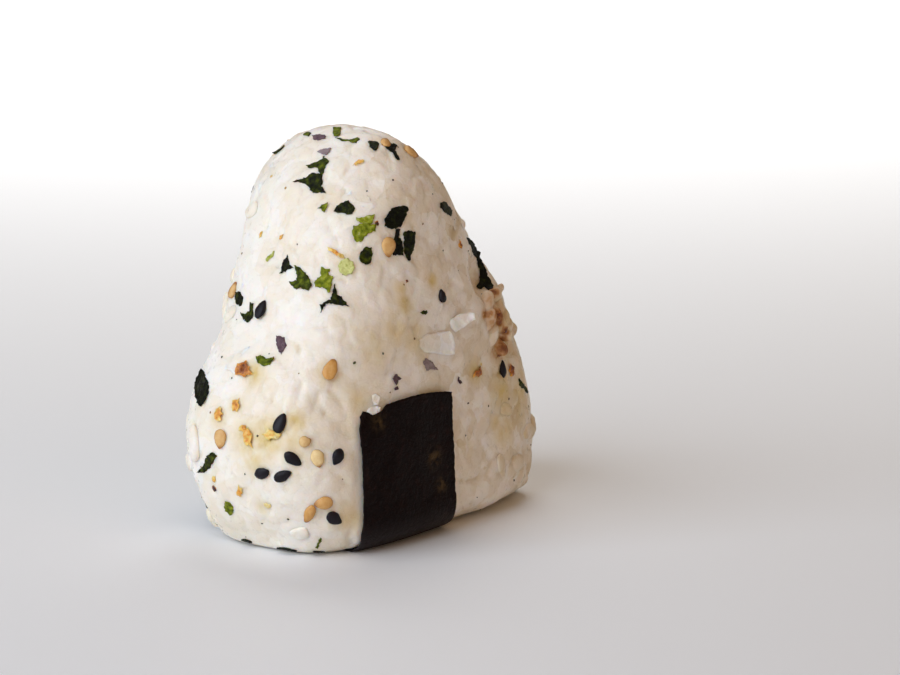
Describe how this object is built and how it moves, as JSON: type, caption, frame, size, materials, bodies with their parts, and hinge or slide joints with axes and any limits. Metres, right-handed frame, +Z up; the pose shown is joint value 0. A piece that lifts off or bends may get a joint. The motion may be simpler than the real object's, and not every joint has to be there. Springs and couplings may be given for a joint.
{
  "type": "onigiri rice ball",
  "caption": "Upright rounded-triangle onigiri of pressed rice with a nori strip folded under its base and sesame seeds, dried leaf flakes and brown crumbs in its surface.",
  "frame": {"origin": "under the middle of the rice ball, on the surface it stands on", "axes": "+Z up through the crown, -Y out of the broad face with the nori, X along the wide side of the triangle"},
  "size_m": [0.078, 0.0439, 0.0737],
  "materials": {
    "rice": "moist cooked rice, soft gloss",
    "nori": "matte dried seaweed",
    "black_sesame": "matte seed",
    "golden_sesame": "satin toasted seed",
    "leaf": "matte dried leaf",
    "crumb": "matte toasted crumb"
  },
  "bodies": {
    "root": {"rice_ball": "rice", "nori_strip": "nori"}
  },
  "joints": []
}
